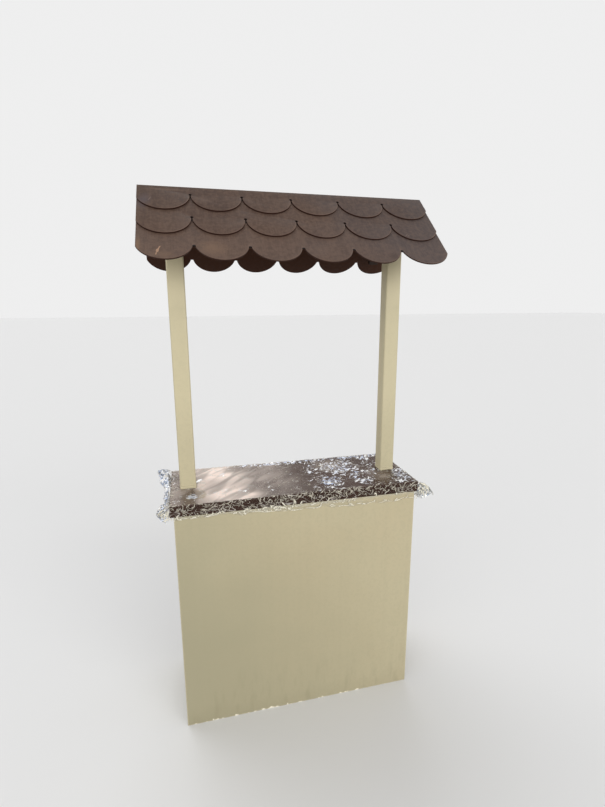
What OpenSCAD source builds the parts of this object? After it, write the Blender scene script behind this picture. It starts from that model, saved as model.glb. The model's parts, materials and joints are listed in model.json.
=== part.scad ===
// Street kiosk: a painted serving counter under a small gable roof of lapped,
// scalloped boards on two posts. Millimetres. X runs along the counter, Y from
// the customers' side (negative) to the seller's side, and Z up. The origin is
// on the ground, under the middle of the counter.

/* [Body] */
// Width of the cream front panel
body_w = 1000; // [700:5:1400]
// Depth of the body and of the counter, from front to back
body_d = 390; // [300:5:600]
// Height of the cream panels
panel_h = 956; // [700:2:1100]
// Thickness of the front and side panels
panel_t = 9; // [6:1:15]
// Side of the square corner legs
leg_w = 30; // [24:1:45]
// Height of the rails between the legs
rail_h = 45; // [30:1:70]
// Thickness of the rails between the legs
rail_t = 20; // [14:1:24]
// Height of the bottom rails above the ground
rail_lift = 40; // [10:1:120]

/* [Counter] */
// How far the counter stands out past each side panel
counter_side_overhang = 15; // [5:1:40]
// Thickness of the counter's board
counter_t = 18; // [12:1:30]
// Height of the strips that thicken the counter's edge
edge_strip_h = 26; // [14:1:45]
// Width of the strips that thicken the counter's edge
edge_strip_w = 24; // [18:1:28]
// Width of the bearers under the posts
bearer_w = 60; // [30:1:80]

/* [Posts] */
// Distance from a side panel's outer face in to the outer face of a post
post_inset = 25; // [20:1:80]
// Width of a post, seen from the front
post_w = 65; // [50:1:90]
// Depth of a post, from front to back
post_d = 60; // [45:1:90]
// Chamfer along each corner of a post
post_ease = 4; // [1:0.5:8]
// Height of the foot block under each post
foot_h = 12; // [6:1:30]
// How far the foot block stands out round the post
foot_lip = 1; // [0.5:0.5:5]

/* [Roof frame] */
// Height of the rafters' peak above the counter's top
peak_rise = 1144; // [900:2:1400]
// Slope of the roof, in degrees
roof_angle = 42; // [32:0.5:50]
// Width of a rafter, along the kiosk
rafter_w = 40; // [25:1:50]
// Depth of a rafter, square to the slope
rafter_d = 30; // [20:1:45]
// Length of a rafter down the slope, from the peak
rafter_l = 300; // [270:1:320]
// Width of the ridge beam
ridge_beam_w = 30; // [20:1:40]
// Depth of the ridge beam at its sides
ridge_beam_d = 40; // [25:1:60]
// Slope distance from the peak to the middle of a purlin
purlin_drop = 200; // [190:1:240]
// Width of a purlin, down the slope
purlin_w = 30; // [20:1:40]
// Depth of a purlin, square to the slope
purlin_d = 20; // [12:1:28]

/* [Scalloped courses] */
// How far the courses stand out past each side panel
roof_overhang = 59; // [30:1:100]
// About how wide a scallop is: a whole number of them fills the course
scallop_w = 187; // [150:1:192]
// Gap that the saw leaves between two scallops where they come closest
saw_gap = 3; // [1.5:0.5:5]
// How much flatter the outer side of the last scallop is, as extra radius
end_spread = 6; // [0:0.5:12]
// Thickness of a course board
course_t = 6; // [4:0.5:9]
// Slope distance from the peak to the foot of the top course
first_course_drop = 126; // [122:1:150]
// Slope distance from the foot of one course to the next
course_step = 130; // [122:1:140]
// How far a course runs up past the holes of the one above it
lap_cover = 12; // [8:1:14]
// Diameter of the hole drilled where two scallops meet
cusp_hole_d = 9; // [6:0.5:12]
// How much is trimmed off each end of a course
end_trim = 2; // [0.5:0.5:6]

/* [Hidden] */
$fn = 96;

cream = [0.76, 0.72, 0.58];
cream_frame = [0.72, 0.68, 0.55];
counter_brown = [0.30, 0.22, 0.18];
roof_brown = [0.40, 0.33, 0.29];
roof_frame_brown = [0.26, 0.20, 0.17];
bare_wood = [0.62, 0.48, 0.33];

// Body: its half sizes, and the inner faces that the legs stand against
body_x = body_w / 2;
body_y = body_d / 2;
leg_x = body_x - panel_t;
leg_front_y = -body_y + panel_t;
top_rail_z = panel_h - rail_h;

// Counter: half length, and the heights of its parts
counter_x = body_x + counter_side_overhang;
strip_z = panel_h;
board_z = strip_z + edge_strip_h;
counter_z = board_z + counter_t;
strip_inner_y = body_y - edge_strip_w;

// Posts: the middle of a post and the height of its foot's top
post_x = body_x - post_inset - post_w / 2;
post_z = counter_z + foot_h;

// Roof: the peak of the plane that the eave course lies on
peak_z = counter_z + peak_rise;
roof_tan = tan(roof_angle);
rafter_inner_x = post_x - rafter_w / 2;

// Scallops: half circles, in a row that is end_trim longer than the course at
// both ends
course_x = body_x + roof_overhang;
scallop_count = round(2 * (course_x + end_trim) / scallop_w);
scallop_pitch = 2 * (course_x + end_trim) / scallop_count;
scallop_r = (scallop_pitch - saw_gap) / 2;

// How far above the foot two scallops part. The upper courses are sawn up to
// the middles of the half circles. The eave course is sawn only up to where
// the gap is as wide as the drilled hole, so its points stay stronger
full_cut = scallop_r;
eave_cut = scallop_r - sqrt(pow(scallop_r, 2) - pow(scallop_r - (cusp_hole_d - saw_gap) / 2, 2));

// Courses, from 0 at the ridge to the last one at the eave: the foot and the
// head of each as slope distances, and how high it lies above the eave course
last_course = 2;
course_lap = full_cut + cusp_hole_d / 2 + lap_cover;
function course_foot(i) = first_course_drop + i * course_step;
function course_head(i) = course_foot(i - 1) - course_lap;
function course_lift(i) = (last_course - i) * course_t;

// How far the top course runs past the ridge before it is mitred there
ridge_spare = 2 * (course_lift(0) + course_t);

// A board or batten given by its lowest and highest corners
module block(low, high) {
    translate(low) cube(high - low);
}

// Shapes that lie on a roof slope: X along the kiosk, Y up the slope from the
// peak, and Z square to the slope, with the rafters' peak at the origin
module on_slope(rear) {
    mirror([0, rear ? 1 : 0, 0])
        translate([0, 0, peak_z])
            rotate([roof_angle, 0, 0])
                children();
}

// A profile in Y and Z, drawn out along X from one place to another
module along_x(from_x, to_x) {
    translate([from_x, 0, 0])
        rotate([90, 0, 90])
            linear_extrude(height = to_x - from_x)
                children();
}

// Body

module panel_side(side) {
    outer = side * body_x;
    inner = side * leg_x;
    block([min(outer, inner), leg_front_y, 0], [max(outer, inner), body_y, panel_h]);
}

module leg(side, rear) {
    outer = side * leg_x;
    inner = side * (leg_x - leg_w);
    front = rear ? body_y - leg_w : leg_front_y;
    block([min(outer, inner), front, 0], [max(outer, inner), front + leg_w, panel_h]);
}

module cross_rail(rear, z) {
    front = rear ? body_y - rail_t : leg_front_y;
    inner = leg_x - leg_w;
    block([-inner, front, z], [inner, front + rail_t, z + rail_h]);
}

module side_rail(side, z) {
    outer = side * leg_x;
    inner = side * (leg_x - rail_t);
    block([min(outer, inner), leg_front_y + leg_w, z],
          [max(outer, inner), body_y - leg_w, z + rail_h]);
}

module front_panel() {
    color(cream) block([-body_x, -body_y, 0], [body_x, leg_front_y, panel_h]);
}

module left_side_panel() { color(cream) panel_side(-1); }
module right_side_panel() { color(cream) panel_side(1); }
module front_left_leg() { color(cream_frame) leg(-1, false); }
module front_right_leg() { color(cream_frame) leg(1, false); }
module rear_left_leg() { color(cream_frame) leg(-1, true); }
module rear_right_leg() { color(cream_frame) leg(1, true); }
module front_top_rail() { color(cream_frame) cross_rail(false, top_rail_z); }
module rear_top_rail() { color(cream_frame) cross_rail(true, top_rail_z); }
module left_top_rail() { color(cream_frame) side_rail(-1, top_rail_z); }
module right_top_rail() { color(cream_frame) side_rail(1, top_rail_z); }
module front_bottom_rail() { color(cream_frame) cross_rail(false, rail_lift); }
module left_bottom_rail() { color(cream_frame) side_rail(-1, rail_lift); }
module right_bottom_rail() { color(cream_frame) side_rail(1, rail_lift); }

// Counter

module long_strip(side) {
    outer = side * body_y;
    inner = side * strip_inner_y;
    block([-counter_x, min(outer, inner), strip_z], [counter_x, max(outer, inner), board_z]);
}

module end_strip(side) {
    outer = side * counter_x;
    inner = side * (counter_x - edge_strip_w);
    block([min(outer, inner), -strip_inner_y, strip_z],
          [max(outer, inner), strip_inner_y, board_z]);
}

module post_bearer(side) {
    middle = side * post_x;
    block([middle - bearer_w / 2, -strip_inner_y, strip_z],
          [middle + bearer_w / 2, strip_inner_y, board_z]);
}

module counter_board() {
    color(counter_brown)
        block([-counter_x, -body_y, board_z], [counter_x, body_y, counter_z]);
}

module front_edge_strip() { color(counter_brown) long_strip(-1); }
module rear_edge_strip() { color(counter_brown) long_strip(1); }
module left_edge_strip() { color(counter_brown) end_strip(-1); }
module right_edge_strip() { color(counter_brown) end_strip(1); }
module left_post_bearer() { color(bare_wood) post_bearer(-1); }
module right_post_bearer() { color(bare_wood) post_bearer(1); }

// Posts

// An oblong whose four corners are chamfered
module eased_oblong(w, d, ease) {
    x = w / 2;
    y = d / 2;
    polygon([
        [-x + ease, -y], [x - ease, -y], [x, -y + ease], [x, y - ease],
        [x - ease, y], [-x + ease, y], [-x, y - ease], [-x, -y + ease]
    ]);
}

module post_foot(side) {
    translate([side * post_x, 0, counter_z])
        linear_extrude(height = foot_h)
            eased_oblong(post_w + 2 * foot_lip, post_d + 2 * foot_lip, post_ease);
}

// The post's head is cut to the two slopes, so that both rafters sit on it
module post(side) {
    seat_peak = peak_z - rafter_d / cos(roof_angle);
    seat_foot = seat_peak - post_d / 2 * roof_tan;
    intersection() {
        translate([side * post_x, 0, post_z])
            linear_extrude(height = seat_peak - post_z)
                eased_oblong(post_w, post_d, post_ease);
        along_x(side * post_x - post_w, side * post_x + post_w)
            polygon([
                [-post_d / 2, post_z], [post_d / 2, post_z],
                [post_d / 2, seat_foot], [0, seat_peak], [-post_d / 2, seat_foot]
            ]);
    }
}

module left_post_foot() { color(cream) post_foot(-1); }
module right_post_foot() { color(cream) post_foot(1); }
module left_post() { color(cream) post(-1); }
module right_post() { color(cream) post(1); }

// Roof frame

// A rafter's upper edge is stepped, one board thickness to each course, and
// its head is cut plumb where it meets the rafter of the other slope
module rafter(side, rear) {
    top_lift = course_lift(0);
    middle_lift = course_lift(1);
    on_slope(rear)
        along_x(side * post_x - rafter_w / 2, side * post_x + rafter_w / 2)
            polygon([
                [top_lift * roof_tan, top_lift],
                [-course_head(1), top_lift], [-course_head(1), middle_lift],
                [-course_head(2), middle_lift], [-course_head(2), 0],
                [-rafter_l, 0], [-rafter_l, -rafter_d],
                [-rafter_d * roof_tan, -rafter_d]
            ]);
}

module purlin(rear) {
    on_slope(rear)
        block([-rafter_inner_x, -purlin_drop - purlin_w / 2, -purlin_d],
              [rafter_inner_x, -purlin_drop + purlin_w / 2, 0]);
}

// The beam's upper faces lie against the two top courses
module ridge_beam() {
    beam_peak = peak_z + course_lift(0) / cos(roof_angle);
    shoulder = beam_peak - ridge_beam_w / 2 * roof_tan;
    color(roof_frame_brown)
        along_x(-rafter_inner_x, rafter_inner_x)
            polygon([
                [0, beam_peak],
                [-ridge_beam_w / 2, shoulder], [-ridge_beam_w / 2, shoulder - ridge_beam_d],
                [ridge_beam_w / 2, shoulder - ridge_beam_d], [ridge_beam_w / 2, shoulder]
            ]);
}

module front_left_rafter() { color(roof_frame_brown) rafter(-1, false); }
module front_right_rafter() { color(roof_frame_brown) rafter(1, false); }
module rear_left_rafter() { color(roof_frame_brown) rafter(-1, true); }
module rear_right_rafter() { color(roof_frame_brown) rafter(1, true); }
module front_purlin() { color(roof_frame_brown) purlin(false); }
module rear_purlin() { color(roof_frame_brown) purlin(true); }

// Scalloped courses

// The quarters of the two end scallops that lie at the course's ends: they are
// a little flatter than the rest, and touch them at the foot
module end_quarter(side, foot) {
    end_r = scallop_r + end_spread;
    middle_x = side * (course_x + end_trim - scallop_pitch / 2);
    intersection() {
        translate([middle_x, end_r - foot]) circle(r = end_r);
        translate([side > 0 ? middle_x : middle_x - scallop_pitch, -foot])
            square([scallop_pitch, scallop_r]);
    }
}

// The board's face: a straight head, a row of scallops parted as far up as
// the cut goes, and both ends cut off square
module scalloped_face(head, foot, cut) {
    intersection() {
        union() {
            translate([-course_x, cut - foot]) square([2 * course_x, foot - cut - head]);
            for (k = [0 : scallop_count - 1])
                translate([(k + 0.5 - scallop_count / 2) * scallop_pitch, scallop_r - foot])
                    circle(r = scallop_r);
            end_quarter(-1, foot);
            end_quarter(1, foot);
        }
        translate([-course_x, -foot]) square([2 * course_x, foot - head]);
    }
}

// One course as it is sawn, lying flat, with a hole drilled where each two
// scallops meet
module course_board(head, foot, cut) {
    linear_extrude(height = course_t)
        difference() {
            scalloped_face(head, foot, cut);
            for (k = [1 : scallop_count - 1])
                translate([(k - scallop_count / 2) * scallop_pitch, cut - foot])
                    circle(d = cusp_hole_d);
        }
}

// All of the roof's space on one side of the ridge, where the top courses
// of the two slopes meet in a plumb mitre
module roof_half(rear) {
    eave_reach = course_foot(last_course) + ridge_spare;
    mirror([0, rear ? 1 : 0, 0])
        block([-course_x - end_trim, -eave_reach, counter_z],
              [course_x + end_trim, 0, peak_z + ridge_spare]);
}

module course(i, rear) {
    head = i > 0 ? course_head(i) : -ridge_spare;
    cut = i < last_course ? full_cut : eave_cut;
    color(roof_brown)
        intersection() {
            on_slope(rear)
                translate([0, 0, course_lift(i)])
                    course_board(head, course_foot(i), cut);
            roof_half(rear);
        }
}

module front_top_course() { course(0, false); }
module front_middle_course() { course(1, false); }
module front_eave_course() { course(2, false); }
module rear_top_course() { course(0, true); }
module rear_middle_course() { course(1, true); }
module rear_eave_course() { course(2, true); }

front_panel();
left_side_panel();
right_side_panel();
front_left_leg();
front_right_leg();
rear_left_leg();
rear_right_leg();
front_top_rail();
rear_top_rail();
left_top_rail();
right_top_rail();
front_bottom_rail();
left_bottom_rail();
right_bottom_rail();
counter_board();
front_edge_strip();
rear_edge_strip();
left_edge_strip();
right_edge_strip();
left_post_bearer();
right_post_bearer();
left_post_foot();
right_post_foot();
left_post();
right_post();
front_left_rafter();
front_right_rafter();
rear_left_rafter();
rear_right_rafter();
ridge_beam();
front_purlin();
rear_purlin();
front_top_course();
front_middle_course();
front_eave_course();
rear_top_course();
rear_middle_course();
rear_eave_course();
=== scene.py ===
# %% [markdown]
# # A street kiosk with a scalloped roof
#
# The kiosk is a painted wooden counter under a small gable roof. Its carpentry
# is already built to size as a packed model, and this lesson only dresses it:
# every board gets its paint, every edge is softened, and the thin clear film
# that is wrapped over the counter is made as a sheet.
#
# Everything is in metres, in the packed model's own frame: X runs along the
# counter, Y from the front panel towards the open back, and Z up.

# %% Load the packed kiosk
import functools
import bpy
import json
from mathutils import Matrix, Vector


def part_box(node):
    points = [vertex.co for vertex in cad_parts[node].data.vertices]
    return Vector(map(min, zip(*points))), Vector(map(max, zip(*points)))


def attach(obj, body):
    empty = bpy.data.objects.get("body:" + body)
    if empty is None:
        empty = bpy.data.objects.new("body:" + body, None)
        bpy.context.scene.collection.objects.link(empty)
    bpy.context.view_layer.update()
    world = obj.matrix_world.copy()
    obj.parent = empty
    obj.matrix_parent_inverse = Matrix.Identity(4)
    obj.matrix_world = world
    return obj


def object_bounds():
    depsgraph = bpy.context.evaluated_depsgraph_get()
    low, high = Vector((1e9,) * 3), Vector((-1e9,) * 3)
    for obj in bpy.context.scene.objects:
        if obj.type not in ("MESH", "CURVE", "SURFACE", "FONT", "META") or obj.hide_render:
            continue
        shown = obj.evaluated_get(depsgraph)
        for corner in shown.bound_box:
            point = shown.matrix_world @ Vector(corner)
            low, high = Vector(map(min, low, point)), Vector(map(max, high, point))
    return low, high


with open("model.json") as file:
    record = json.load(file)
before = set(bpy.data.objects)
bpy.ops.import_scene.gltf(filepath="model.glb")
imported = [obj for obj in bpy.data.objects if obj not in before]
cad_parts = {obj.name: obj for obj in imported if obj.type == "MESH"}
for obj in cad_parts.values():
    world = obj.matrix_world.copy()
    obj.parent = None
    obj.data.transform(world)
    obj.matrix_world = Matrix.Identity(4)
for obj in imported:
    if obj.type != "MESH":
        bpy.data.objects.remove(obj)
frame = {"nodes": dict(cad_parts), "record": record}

import inspect
import json
import math

import bpy
import numpy as np
from mathutils import Matrix, Vector

nodes = frame["nodes"]
cad_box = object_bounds()


def new_object(name, data):
    """Puts a mesh, a lamp or a camera into the scene as an object."""
    made = bpy.data.objects.new(name, data)
    bpy.context.scene.collection.objects.link(made)
    return made


def neat(*values):
    """Some numbers, rounded to be printed."""
    return [round(float(value), 3) for value in values]


print("CAD nodes:", len(nodes))
print("CAD box:", neat(*cad_box[0]), neat(*cad_box[1]))

# %% [markdown]
# ## The camera
#
# The photograph was taken from a little left of the kiosk and from above its
# counter, looking slightly down. Fitting the kiosk's corners to the picture gave
# the camera's place and its focal length in pixels. A camera in Blender
# looks along its own -Z, so its matrix is made of the picture's right, the
# picture's up and the reverse of the view, as three columns.

# %% Place the camera
PHOTO_W, PHOTO_H = 605, 807
FOCAL_PX = 458.2
CAMERA_AT = Vector((-0.4123, -1.8687, 1.7532))
YAW, PITCH, ROLL = (math.radians(a) for a in (13.987, 12.464, -0.178))
SENSOR_MM = 36.0

ahead = Vector((math.sin(YAW) * math.cos(PITCH), math.cos(YAW) * math.cos(PITCH), -math.sin(PITCH)))
level = Vector((math.cos(YAW), -math.sin(YAW), 0.0))
above = level.cross(ahead)
right = math.cos(ROLL) * level + math.sin(ROLL) * above
up = math.cos(ROLL) * above - math.sin(ROLL) * level

camera_data = bpy.data.cameras.new("Camera")
camera_data.sensor_fit = "AUTO"
camera_data.sensor_width = SENSOR_MM
camera_data.lens = FOCAL_PX * SENSOR_MM / max(PHOTO_W, PHOTO_H)
camera = new_object("Camera", camera_data)
camera.matrix_world = Matrix.Translation(CAMERA_AT) @ Matrix((right, up, -ahead)).transposed().to_4x4()
bpy.context.scene.camera = camera
print("lens:", *neat(camera_data.lens), "mm")

# %% [markdown]
# ## Sums that make nodes
#
# A procedural material is a small program made of nodes. Added one by one, they
# hide what is worked out, so each output is wrapped in a small class, a wire.
# Python's own + - * / on wires add the Math nodes, and a sum in this lesson
# reads like a sum. A wire knows its tree, so only a node that starts from
# nothing, such as one that gives coordinates, has to be told where it belongs.

# %% Wires, and the arithmetic on them
class Wire:
    """What a node puts out; sums and comparisons with it add Math nodes to its tree."""

    def __init__(self, socket):
        self.socket = socket
        self.tree = socket.id_data
        self.is_vector = socket.type in ("VECTOR", "RGBA")

    def __add__(self, other):
        return maths("ADD", self, other)

    def __sub__(self, other):
        return maths("SUBTRACT", self, other)

    def __rsub__(self, other):
        return maths("SUBTRACT", other, self)

    def __mul__(self, other):
        return maths("MULTIPLY", self, other)

    def __truediv__(self, other):
        return maths("DIVIDE", self, other)

    def __rtruediv__(self, other):
        return maths("DIVIDE", other, self)

    def __gt__(self, other):
        return maths("GREATER_THAN", self, other)

    def __lt__(self, other):
        return maths("LESS_THAN", self, other)

    def __abs__(self):
        return maths("ABSOLUTE", self)

    __radd__ = __add__
    __rmul__ = __mul__


def tree_of(values):
    """The node tree of the first wire among some values."""
    return next(value.tree for value in values if isinstance(value, Wire))


def connect(socket, value):
    """Links a wire to a socket, or sets the socket to a plain value."""
    if isinstance(value, Wire):
        value.tree.links.new(value.socket, socket)
    else:
        socket.default_value = value


def maths(operation, *values, clamp=False):
    """One step of arithmetic; on vectors, where one of the values is a vector."""
    on_vectors = any(isinstance(value, tuple) or getattr(value, "is_vector", False) for value in values)
    made = tree_of(values).nodes.new("ShaderNodeVectorMath" if on_vectors else "ShaderNodeMath")
    made.operation = operation
    if clamp:
        made.use_clamp = True
    for socket, value in zip(made.inputs, values):
        connect(socket, value)
    gives_number = on_vectors and operation in ("LENGTH", "DOT_PRODUCT")
    return Wire(made.outputs[1 if gives_number else 0])


def most(*values):
    """The greatest of several numbers."""
    return functools.reduce(lambda first, second: maths("MAXIMUM", first, second), values)


def hypotenuse(a, b):
    """The long side of a right triangle, from its two short ones."""
    return maths("SQRT", a * a + b * b)


print("what a wire can do:", *(name.strip("_") for name, step in vars(Wire).items() if callable(step)))

# %% Helpers for the other nodes
MIXED_COLOURS = (0, 6, 7)  # the Mix node's factor and its two colours, among its other inputs
MIXED_RESULT = 2


def feed(inputs, **feeds):
    """Feeds the inputs of a node by name, _ for a space, each with a wire or with a plain value."""
    for name, value in feeds.items():
        connect(inputs[name.replace("_", " ")], value)


def add(tree, kind, options=None, **feeds):
    """Adds a node, sets its options and feeds its inputs; gives its outputs by name, as wires."""
    made = tree.nodes.new("ShaderNode" + kind)
    for key, value in (options or {}).items():
        setattr(made, key, value)
    feed(made.inputs, **feeds)
    return {socket.name: Wire(socket) for socket in made.outputs}


def split(vector):
    """The three numbers of a vector."""
    return tuple(add(vector.tree, "SeparateXYZ", Vector=vector).values())


def join(x, y, z):
    """Three numbers as one vector."""
    return add(tree_of((x, y, z)), "CombineXYZ", X=x, Y=y, Z=z)["Vector"]


def mapped(vector, rotation=(0.0, 0.0, 0.0), location=(0.0, 0.0, 0.0)):
    """A place, turned and moved by a Mapping node."""
    return add(vector.tree, "Mapping", Vector=vector, Rotation=rotation, Location=location)["Vector"]


def rise(value, low, high, to_low=0.0, to_high=1.0):
    """A smooth step: to_low where value is under low, to_high where it is over high."""
    return add(value.tree, "MapRange", {"interpolation_type": "SMOOTHSTEP"}, Value=value,
               From_Min=low, From_Max=high, To_Min=to_low, To_Max=to_high)["Result"]


def fall(value, low, high):
    """A smooth step down: 1 where value is under low, 0 where it is over high."""
    return rise(value, low, high, 1.0, 0.0)


def noise(vector, scale, detail=2.0, roughness=0.5, distortion=0.0, output="Fac"):
    """Blender's own noise, from 0 to 1 and mostly near 0.5; three of them where the output is Color."""
    return add(vector.tree, "TexNoise", Vector=vector, Scale=scale, Detail=detail,
               Roughness=roughness, Distortion=distortion)[output]


def mix(factor, first, second, how="MIX"):
    """Mixes two colours, from the first at factor 0 to the second at factor 1."""
    made = tree_of((factor, first, second)).nodes.new("ShaderNodeMix")
    made.data_type = "RGBA"
    made.blend_type = how
    for number, value in zip(MIXED_COLOURS, (factor, first, second)):
        connect(made.inputs[number], value)
    return Wire(made.outputs[MIXED_RESULT])


def coats(colour, layers):
    """Lays colours over one another; a layer is how much of it shows, and its colour."""
    for share, over in layers:
        colour = mix(share, colour, over)
    return colour


def srgb(red, green, blue):
    """A colour as it is read off a picture, 0 to 255, as the linear colour that a shader wants."""
    share = np.array([red, green, blue]) / 255.0
    linear = np.where(share <= 0.04045, share / 12.92, ((share + 0.055) / 1.055) ** 2.4)
    return (*(float(c) for c in linear), 1.0)


print("mid grey:", neat(*srgb(128, 128, 128)))

# %% [markdown]
# ## Effects that several paints share
#
# A node group is to a material what a function is to a script: named inputs, a
# body, and named outputs. So each group is written here as a function. The
# helper calls it once, with the group's own inputs, and makes its parameters
# and its results the group's sockets. The same brush marks appear on the cream
# body, the brown counter and the roof, worn edges on the first two and splashed
# dirt on the cream body, and each paint gives them values of its own. The groups
# put out colours, masks and heights only. The shader itself stays in each material.

# %% A helper that makes a group of a function
SOCKET_OF_LENGTH = {1: "NodeSocketFloat", 3: "NodeSocketVector", 4: "NodeSocketColor"}
ORIGIN = (0.0, 0.0, 0.0)
GREY = (0.5, 0.5, 0.5, 1.0)


def titled(name):
    """A name as Blender shows it: spaces for _ and a capital letter."""
    return name.replace("_", " ").capitalize()


def node_group(formula):
    """Makes a node group of a function, and gives a function that places the group."""
    made = bpy.data.node_groups.new(titled(formula.__name__), "ShaderNodeTree")
    defaults = {name: each.default for name, each in inspect.signature(formula).parameters.items()}
    for name, default in defaults.items():
        socket = made.interface.new_socket(titled(name), in_out="INPUT",
                                           socket_type=SOCKET_OF_LENGTH[np.size(default)])
        socket.default_value = default
    given = made.nodes.new("NodeGroupInput").outputs
    results = formula(**{name: Wire(given[titled(name)]) for name in defaults})
    for name, wire in results.items():
        made.interface.new_socket(name, in_out="OUTPUT",
                                  socket_type=SOCKET_OF_LENGTH[4 if wire.is_vector else 1])
    feed(made.nodes.new("NodeGroupOutput").inputs, **results)

    def place(tree=None, **feeds):
        """Places the group in the tree of its feeds; it is told the tree where no feed is a wire."""
        return add(tree or tree_of(feeds.values()), "Group", {"node_tree": made},
                   **{titled(name): value for name, value in feeds.items()})

    print("group:", made.name, "with", len(made.nodes), "nodes")
    return place


print("kinds of sockets:", *SOCKET_OF_LENGTH.values())

# %% [markdown]
# **Brush marks.** A brush or roller leaves fine parallel ridges that run along
# its stroke. Stretching noise along one axis makes just that: it changes fast
# across the stroke and slowly along it. The strokes here run along the vector's
# own Z, and a Mapping node in the material turns them where a board needs it.

# %% Group: brush marks
@node_group
def brush_marks(vector=ORIGIN, spacing=0.004, length=0.25):
    """Fine noise and broad noise, both stretched along Z; their sum is the height of the ridges."""
    across = 1.0 / spacing
    stretched = vector * join(across, across, 1.0 / length)
    fine = noise(stretched, 1.0, 3.0, 0.6)
    broad = noise(stretched, 0.16)
    return {"Height": fine * 0.6 + broad * 0.4, "Streaks": rise(broad, 0.3, 0.7)}

# %% [markdown]
# **Patchy paint.** Hand-painted boards are never one flat colour: where the coat
# is thicker the colour is deeper, and where it has been rubbed it is paler.
# Noise with some finer detail in it gives soft clouds with a ragged edge.

# %% Group: patchy paint
@node_group
def patchy_paint(vector=ORIGIN, patch_size=0.3, contrast=1.0, paint=GREY, other_paint=GREY):
    """Two paints, mixed by noise as coarse as the patches; more contrast makes their borders narrower."""
    clouds = noise(vector, 1.0 / patch_size, 4.0, 0.55, 0.3)
    spread = 0.22 / contrast
    return {"Colour": mix(rise(clouds, 0.5 - spread, 0.5 + spread), paint, other_paint)}

# %% [markdown]
# ** Worn edges.** Paint rubs thin where boards are handled and knocked, and that
# is along their edges. The Bevel node gives the normal that a rounded edge would
# have; where it differs from the flat normal there is an edge near. Noise breaks
# the line up, because nobody wears an edge evenly. On the cream paint the pale
# line is wide and is partly a painted highlight along the edge.

# %% Group: worn edges
def surface_normal(tree):
    """The way the surface faces."""
    return add(tree, "NewGeometry")["Normal"]


@node_group
def worn_edges(vector=ORIGIN, width=0.004, amount=0.5, grain=60.0):
    """How far the rounded normal turns from the flat one, times noise over a limit set by the amount."""
    rounded = add(width.tree, "Bevel", {"samples": 4}, Radius=width)["Normal"]
    turned = 1.0 - maths("DOT_PRODUCT", rounded, surface_normal(width.tree))
    broken = noise(vector, grain, 3.0, 0.6)
    limit = 1.0 - amount
    return {"Mask": rise(turned, 0.02, 0.22) * rise(broken, limit - 0.12, limit + 0.12)}

# %% [markdown]
# **Splashed dirt.** Rain and mops throw grit against the lowest hand's breadth
# of anything that stands outdoors. The mask is strongest at the ground and fades
# with height, and noise gives it a ragged top.

# %% Group: splashed dirt
@node_group
def splashed_dirt(vector=ORIGIN, height=0.25, grain=14.0):
    """A fall from 1 at the ground to 0 at the height, which noise raises and lowers."""
    top = noise(vector, grain, 5.0, 0.65) * height * 2.0
    return {"Mask": fall(split(vector)[2], 0.0, top)}

# %% [markdown]
# **Specks.** Dust, insects and grit dry into the paint as small dots. Voronoi
# noise scatters one point in each cell, and a random number in each cell decides
# whether that point shows.

# %% Group: specks
@node_group
def specks(vector=ORIGIN, spacing=0.03, size=0.0012, share=0.3):
    """A dot round each cell's point, in those cells whose lot is under the share."""
    rate = 1.0 / spacing
    cells = add(vector.tree, "TexVoronoi", Vector=vector, Scale=rate)
    radius = size * rate
    lot = split(cells["Color"])[0]
    return {"Mask": fall(cells["Distance"], radius * 0.6, radius) * (lot < share)}

# %% [markdown]
# **A single mark.** The roof has a few scars that everybody would know it by: a
# leaf-shaped chip, some scratches, rubbed patches. Each is an ellipse at a stated
# place, turned by a stated angle, with noise along its edge. Soft says how much
# of it fades: a chip is sharp, a rubbed patch is nearly all fade.

# %% Group: one mark
MARK_DEPTH = 0.04


@node_group
def one_mark(vector=ORIGIN, centre=ORIGIN, turn=0.0, half_length=0.02, half_width=0.004,
             ragged=0.3, soft=0.2):
    """The distance from the centre, in units of the ellipse's half sizes, is under 1 inside it."""
    turned = add(vector.tree, "VectorRotate", {"rotation_type": "Z_AXIS"}, Vector=vector - centre,
                 Angle=turn)["Vector"]
    distance = maths("LENGTH", turned / join(half_width, half_length, MARK_DEPTH))
    frayed = noise(vector, 220.0, 3.0) - 0.5
    return {"Mask": fall(distance + ragged * frayed, 1.0 - soft, 1.0)}

# %% [markdown]
# ** Crevice shade.** Where two boards meet, less light reaches, and this group
# paints that shade into the colour. Ambient occlusion measures how much of the
# open air a point sees within a short distance, so it finds these corners by itself.

# %% Group: crevice shade
@node_group
def crevices(distance=0.012, strength=0.6):
    """1 less the share of open air around the point, sharpened and times the strength."""
    openness = add(distance.tree, "AmbientOcclusion", {"samples": 6}, Distance=distance)["AO"]
    return {"Mask": fall(openness, 0.25, 0.85) * strength}

# %% [markdown]
# **Wood grain.** Bare battens show it plainly. A board is cut from rings:
# distance from a far-off, slowly wandering centre, read in narrow bands, gives
# the long cathedral figures along its length.

# %% Group: wood grain
@node_group
def wood_grain(vector=ORIGIN, ring=0.006, pale=GREY, dark=GREY):
    """The distance from the swaying heart, in rings, keeps only its fraction; fine pores are added."""
    wander = noise(vector * (6.0, 6.0, 0.9), 1.0, output="Color")
    swayed = vector * (1.0, 1.0, 0.06) + wander * (0.06, 0.06, 0.06)
    bands = maths("FRACT", maths("LENGTH", swayed) / ring)
    pores = noise(vector * (900.0, 900.0, 30.0), 1.0)
    figure = rise(bands, 0.1, 0.95) * 0.7 + pores * 0.45
    return {"Colour": mix(figure, pale, dark), "Height": figure}

# %% [markdown]
# ## The paints
#
# A paint is a Principled shader fed by those groups. Its bump is kept low: the
# real paint is brushed on thinly and its ridges are a few hundredths of a
# millimetre high. The gloss is satin and a little uneven, so that a highlight
# never looks like plastic.

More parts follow.
